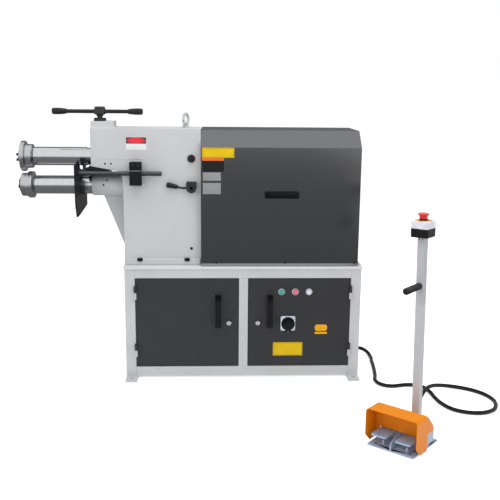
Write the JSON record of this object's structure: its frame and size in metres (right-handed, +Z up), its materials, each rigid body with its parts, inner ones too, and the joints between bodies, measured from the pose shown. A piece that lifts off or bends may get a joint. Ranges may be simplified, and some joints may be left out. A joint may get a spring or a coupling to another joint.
{
  "type": "electric bead roller",
  "caption": "Electric bead roller: cantilevered shafts with beading rolls, T handle pressure screw, geared drive under a cover, steel cabinet, and a guarded foot switch on a cable",
  "frame": {"origin": "on the floor, under the middle of the bounding box of the machine and its foot switch, without the cable", "axes": "+X along the shafts from the rolls towards the motor, +Y from the operator's side towards the back, +Z up"},
  "size_m": [2.0516, 1.3358, 1.2048],
  "materials": {
    "light_grey_paint": "smooth light grey powder coat",
    "dark_grey_paint": "dark grey powder coat",
    "orange_paint": "glossy orange powder coat",
    "black_plastic": "black moulded plastic",
    "black_oxide_steel": "black oxide on machined steel",
    "zinc_plated_steel": "zinc plated sheet",
    "chrome": "bright chrome plating",
    "ground_steel": "ground bright steel",
    "tool_steel": "turned tool steel",
    "gear_steel": "oiled machined steel",
    "cast_metal": "painted cast metal",
    "cast_aluminium": "grey painted die casting",
    "bearing_bronze": "plain bronze",
    "green_plastic": "glossy green plastic",
    "red_plastic": "glossy red plastic"
  },
  "bodies": {
    "cabinet_and_frame": {"post_left": "light_grey_paint", "post_right": "light_grey_paint", "post_centre": "light_grey_paint", "rail_top": "light_grey_paint", "cabinet_floor": "light_grey_paint", "side_panel_left": "light_grey_paint", "side_panel_right": "light_grey_paint", "cabinet_back": "light_grey_paint", "table_plate": "light_grey_paint", "electrical_panel": "zinc_plated_steel", "frame_front_plate": "light_grey_paint", "frame_rear_plate": "light_grey_paint", "frame_top_plate": "light_grey_paint", "frame_bearing_plate": "light_grey_paint", "frame_throat_plate": "light_grey_paint", "lower_shaft_housing": "light_grey_paint", "lower_front_bush": "bearing_bronze", "lower_rear_bearing": "gear_steel", "screw_nut": "black_oxide_steel", "gearbox": "cast_metal", "motor": "cast_metal", "drive_stand": "light_grey_paint", "drive_cover": "dark_grey_paint", "cover_handle": "black_plastic", "eye_bolt": "zinc_plated_steel", "fence_clamp": "black_oxide_steel", "cable_gland": "black_plastic", "cable": "black_plastic", "pedal_base": "cast_aluminium", "pedal_guard": "orange_paint", "pole": "light_grey_paint", "pole_grip": "black_plastic", "stop_box": "black_plastic"},
    "left_door": {"door_left": "dark_grey_paint", "door_handle_left": "black_plastic"},
    "right_door": {"door_right": "dark_grey_paint", "door_handle_right": "black_plastic"},
    "left_lock": {"cam_lock_left": "chrome"},
    "right_lock": {"cam_lock_right": "chrome"},
    "start_push": {"start_button": "green_plastic"},
    "stop_push": {"stop_button": "red_plastic"},
    "switch_knob": {"main_switch_knob": "black_plastic"},
    "lower_shaft_set": {"lower_shaft": "ground_steel", "lower_roll": "tool_steel", "lower_gear": "gear_steel", "drive_coupling": "gear_steel"},
    "bearing_block": {"front_bearing_block": "black_oxide_steel"},
    "tilting_carrier": {"upper_shaft_carrier": "cast_metal", "upper_front_bush": "bearing_bronze"},
    "upper_shaft_set": {"upper_shaft": "ground_steel", "upper_roll": "tool_steel", "upper_gear": "gear_steel"},
    "t_handle": {"pressure_screw": "black_oxide_steel", "t_bar": "black_oxide_steel"},
    "fence": {"fence_rod": "black_oxide_steel", "fence_plate": "black_oxide_steel"},
    "lever": {"axial_lever": "black_oxide_steel"},
    "left_pedal": {"pedal_left": "cast_aluminium"},
    "right_pedal": {"pedal_right": "cast_aluminium"},
    "stop_mushroom": {"emergency_stop_button": "red_plastic"}
  },
  "joints": [
    {"name": "left_door_hinge", "type": "hinge", "parent": "cabinet_and_frame", "child": "left_door", "pos_m": [-0.3365, 0.14744, 0.0572], "axis": [0, 0, -1], "range_deg": [0, 105]},
    {"name": "right_door_hinge", "type": "hinge", "parent": "cabinet_and_frame", "child": "right_door", "pos_m": [0.6211, 0.14744, 0.0572], "axis": [0, 0, 1], "range_deg": [0, 105]},
    {"name": "left_lock_turn", "type": "hinge", "parent": "left_door", "child": "left_lock", "pos_m": [0.078, 0.15394, 0.26], "axis": [0, 1, 0], "range_deg": [0, 90]},
    {"name": "right_lock_turn", "type": "hinge", "parent": "right_door", "child": "right_lock", "pos_m": [0.2073, 0.15394, 0.26], "axis": [0, -1, 0], "range_deg": [0, 90]},
    {"name": "start_button_press", "type": "slide", "parent": "right_door", "child": "start_push", "axis": [0, 1, 0], "range_m": [0, 0.004], "stiffness_N_per_m": 1500},
    {"name": "stop_button_press", "type": "slide", "parent": "right_door", "child": "stop_push", "axis": [0, 1, 0], "range_m": [0, 0.004], "stiffness_N_per_m": 1500},
    {"name": "main_switch_turn", "type": "hinge", "parent": "right_door", "child": "switch_knob", "pos_m": [0.3433, 0.15394, 0.2555], "axis": [0, 1, 0], "range_deg": [0, 90]},
    {"name": "lower_shaft_spin", "type": "hinge", "parent": "cabinet_and_frame", "child": "lower_shaft_set", "pos_m": [-0.3827, 0.28644, 0.862], "axis": [1, 0, 0], "continuous": true},
    {"name": "bearing_block_slide", "type": "slide", "parent": "cabinet_and_frame", "child": "bearing_block", "axis": [0, 0, 1], "range_m": [-0.003, 0.014]},
    {"name": "t_handle_turn", "type": "hinge", "parent": "bearing_block", "child": "t_handle", "pos_m": [-0.4872, 0.28644, 1.1575], "axis": [0, 0, 1], "range_deg": [-210, 1000]},
    {"name": "upper_shaft_tilt", "type": "hinge", "parent": "cabinet_and_frame", "child": "tilting_carrier", "pos_m": [-0.0867, 0.28644, 0.988], "axis": [0, 1, 0], "range_deg": [-0.43, 2]},
    {"name": "upper_shaft_spin", "type": "hinge", "parent": "tilting_carrier", "child": "upper_shaft_set", "pos_m": [-0.3827, 0.28644, 0.988], "axis": [1, 0, 0], "continuous": true},
    {"name": "fence_slide", "type": "slide", "parent": "cabinet_and_frame", "child": "fence", "axis": [1, 0, 0], "range_m": [-0.15, 0.015]},
    {"name": "axial_lever_turn", "type": "hinge", "parent": "cabinet_and_frame", "child": "lever", "pos_m": [-0.0867, 0.19644, 0.862], "axis": [0, 1, 0], "range_deg": [-30, 30]},
    {"name": "left_pedal_press", "type": "hinge", "parent": "cabinet_and_frame", "child": "left_pedal", "pos_m": [0.71175, -0.52963, 0.044], "axis": [0.7524, -0.6587, 0], "range_deg": [0, 9], "stiffness_Nm_per_rad": 20},
    {"name": "right_pedal_press", "type": "hinge", "parent": "cabinet_and_frame", "child": "right_pedal", "pos_m": [0.71175, -0.52963, 0.044], "axis": [0.7524, -0.6587, 0], "range_deg": [0, 9], "stiffness_Nm_per_rad": 20},
    {"name": "emergency_stop_press", "type": "slide", "parent": "cabinet_and_frame", "child": "stop_mushroom", "axis": [0.0158, -0.0138, -0.9998], "range_m": [0, 0.006], "stiffness_N_per_m": 2500}
  ],
  "couplings": [
    {"joint": "upper_shaft_spin", "follows": "lower_shaft_spin", "ratio": -1},
    {"joint": "bearing_block_slide", "follows": "t_handle_turn", "m_per_rad": 0.00079577},
    {"joint": "upper_shaft_tilt", "follows": "t_handle_turn", "ratio": 0.001987}
  ]
}
